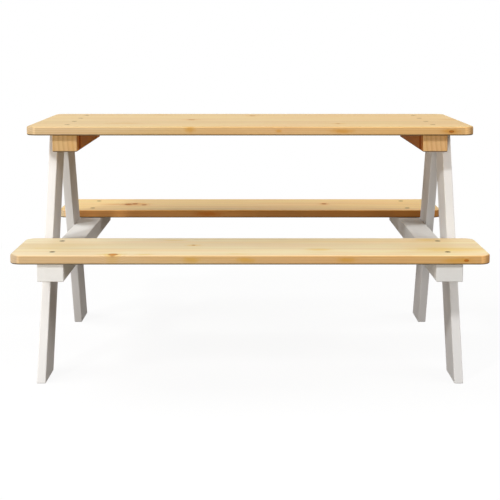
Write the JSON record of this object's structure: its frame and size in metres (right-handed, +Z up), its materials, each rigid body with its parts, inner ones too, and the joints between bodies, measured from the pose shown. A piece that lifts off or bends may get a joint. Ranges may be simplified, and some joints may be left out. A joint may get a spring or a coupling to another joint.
{
  "type": "kids table and bench set",
  "caption": "Low children's picnic-style table with two fixed benches: rounded natural pine boards on white-painted A-frame legs, held together by countersunk screws.",
  "frame": {"origin": "on the floor under the middle of the tabletop", "axes": "+X along the seats to the right as seen from the front bench, +Y from the front bench to the rear bench, +Z up"},
  "size_m": [0.9, 0.79, 0.496],
  "materials": {
    "pine_tabletop": "natural pine, sanded and clear-coated, satin",
    "pine_seat": "natural pine, sanded and clear-coated, satin",
    "pine_cleat": "natural pine, planed",
    "white_paint_bearer": "opaque white paint on pine, satin",
    "white_paint_leg": "opaque white paint on pine, satin",
    "zinc_screw": "zinc-plated"
  },
  "bodies": {
    "root": {"tabletop": "pine_tabletop", "bench_front": "pine_seat", "bench_rear": "pine_seat", "cleat_left": "pine_cleat", "cleat_right": "pine_cleat", "bearer_left": "white_paint_bearer", "bearer_right": "white_paint_bearer", "leg_front_left": "white_paint_leg", "leg_rear_left": "white_paint_leg", "leg_front_right": "white_paint_leg", "leg_rear_right": "white_paint_leg", "screw_table_left_1": "zinc_screw", "screw_table_left_2": "zinc_screw", "screw_table_left_3": "zinc_screw", "screw_table_left_4": "zinc_screw", "screw_bench_front_left_1": "zinc_screw", "screw_bench_front_left_2": "zinc_screw", "screw_leg_front_left_cleat_1": "zinc_screw", "screw_leg_front_left_cleat_2": "zinc_screw", "screw_leg_front_left_bearer_1": "zinc_screw", "screw_leg_front_left_bearer_2": "zinc_screw", "screw_bench_rear_left_1": "zinc_screw", "screw_bench_rear_left_2": "zinc_screw", "screw_leg_rear_left_cleat_1": "zinc_screw", "screw_leg_rear_left_cleat_2": "zinc_screw", "screw_leg_rear_left_bearer_1": "zinc_screw", "screw_leg_rear_left_bearer_2": "zinc_screw", "screw_table_right_1": "zinc_screw", "screw_table_right_2": "zinc_screw", "screw_table_right_3": "zinc_screw", "screw_table_right_4": "zinc_screw", "screw_bench_front_right_1": "zinc_screw", "screw_bench_front_right_2": "zinc_screw", "screw_leg_front_right_cleat_1": "zinc_screw", "screw_leg_front_right_cleat_2": "zinc_screw", "screw_leg_front_right_bearer_1": "zinc_screw", "screw_leg_front_right_bearer_2": "zinc_screw", "screw_bench_rear_right_1": "zinc_screw", "screw_bench_rear_right_2": "zinc_screw", "screw_leg_rear_right_cleat_1": "zinc_screw", "screw_leg_rear_right_cleat_2": "zinc_screw", "screw_leg_rear_right_bearer_1": "zinc_screw", "screw_leg_rear_right_bearer_2": "zinc_screw"}
  },
  "joints": []
}
